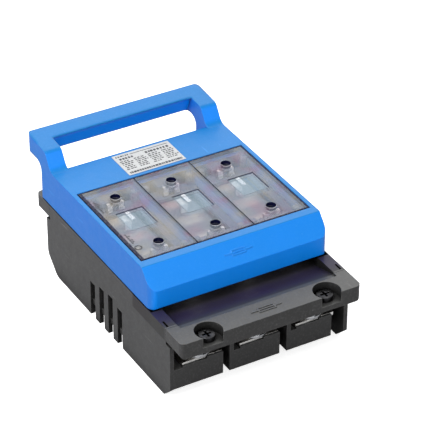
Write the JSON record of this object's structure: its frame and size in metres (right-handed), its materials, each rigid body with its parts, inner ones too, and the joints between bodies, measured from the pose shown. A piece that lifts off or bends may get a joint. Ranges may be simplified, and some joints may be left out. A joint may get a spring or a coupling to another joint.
{
  "type": "fuse switch disconnector",
  "caption": "Black switch base with jaw contacts under a hinged blue lid with grip handle and smoked windows; the lid carries the blade fuse links.",
  "frame": {"origin": "middle of the base's footprint, on the mounting plane at the back of the base", "axes": "+Z away from the mounting plate, +Y towards the lid's handle, +X to the right when the handle is at the top"},
  "size_m": [0.106, 0.1715, 0.0755],
  "materials": {
    "black_plastic": "satin moulded, fine grain",
    "blue_plastic": "satin moulded, fine grain",
    "smoked_plastic": "clear plastic with a grey smoke tint",
    "grey_plastic": "satin moulded",
    "fuse_ceramic": "semi-gloss glaze",
    "silvered_copper": "silver-plated copper, satin",
    "zinc_steel": "bright zinc plate",
    "blackened_steel": "black oxide, satin",
    "spring_steel": "satin",
    "arc_steel": "dull",
    "label_paper": "matt with printed rules"
  },
  "bodies": {
    "base": {"base_housing": "black_plastic", "front_terminal_cover": "black_plastic", "rear_terminal_cover": "black_plastic", "fixing_screw_front_left": "blackened_steel", "fixing_screw_front_right": "blackened_steel", "fixing_screw_rear_left": "blackened_steel", "fixing_screw_rear_right": "blackened_steel", "contact_left_front": "silvered_copper", "contact_left_rear": "silvered_copper", "contact_middle_front": "silvered_copper", "contact_middle_rear": "silvered_copper", "contact_right_front": "silvered_copper", "contact_right_rear": "silvered_copper", "jaw_spring_left_front": "spring_steel", "jaw_spring_left_rear": "spring_steel", "jaw_spring_middle_front": "spring_steel", "jaw_spring_middle_rear": "spring_steel", "jaw_spring_right_front": "spring_steel", "jaw_spring_right_rear": "spring_steel", "terminal_bolt_left_front": "zinc_steel", "terminal_bolt_left_rear": "zinc_steel", "terminal_bolt_middle_front": "zinc_steel", "terminal_bolt_middle_rear": "zinc_steel", "terminal_bolt_right_front": "zinc_steel", "terminal_bolt_right_rear": "zinc_steel", "terminal_washer_left_front": "zinc_steel", "terminal_washer_left_rear": "zinc_steel", "terminal_washer_middle_front": "zinc_steel", "terminal_washer_middle_rear": "zinc_steel", "terminal_washer_right_front": "zinc_steel", "terminal_washer_right_rear": "zinc_steel", "terminal_nut_left_front": "zinc_steel", "terminal_nut_left_rear": "zinc_steel", "terminal_nut_middle_front": "zinc_steel", "terminal_nut_middle_rear": "zinc_steel", "terminal_nut_right_front": "zinc_steel", "terminal_nut_right_rear": "zinc_steel", "arc_chute_left": "arc_steel", "arc_chute_middle": "arc_steel", "arc_chute_right": "arc_steel"},
    "lid": {"lid_frame": "blue_plastic", "window_left": "smoked_plastic", "window_middle": "smoked_plastic", "window_right": "smoked_plastic", "fuse_body_left": "fuse_ceramic", "fuse_body_middle": "fuse_ceramic", "fuse_body_right": "fuse_ceramic", "fuse_blade_left_front": "silvered_copper", "fuse_blade_left_rear": "silvered_copper", "fuse_blade_middle_front": "silvered_copper", "fuse_blade_middle_rear": "silvered_copper", "fuse_blade_right_front": "silvered_copper", "fuse_blade_right_rear": "silvered_copper", "fuse_carrier_left": "grey_plastic", "fuse_carrier_middle": "grey_plastic", "fuse_carrier_right": "grey_plastic", "hinge_pin_left": "zinc_steel", "hinge_pin_right": "zinc_steel", "rating_label": "label_paper"}
  },
  "joints": [
    {"name": "lid_swing", "type": "hinge", "parent": "base", "child": "lid", "pos_m": [0, -0.0436, 0.0479], "axis": [1, 0, 0], "range_deg": [0, 90]}
  ]
}
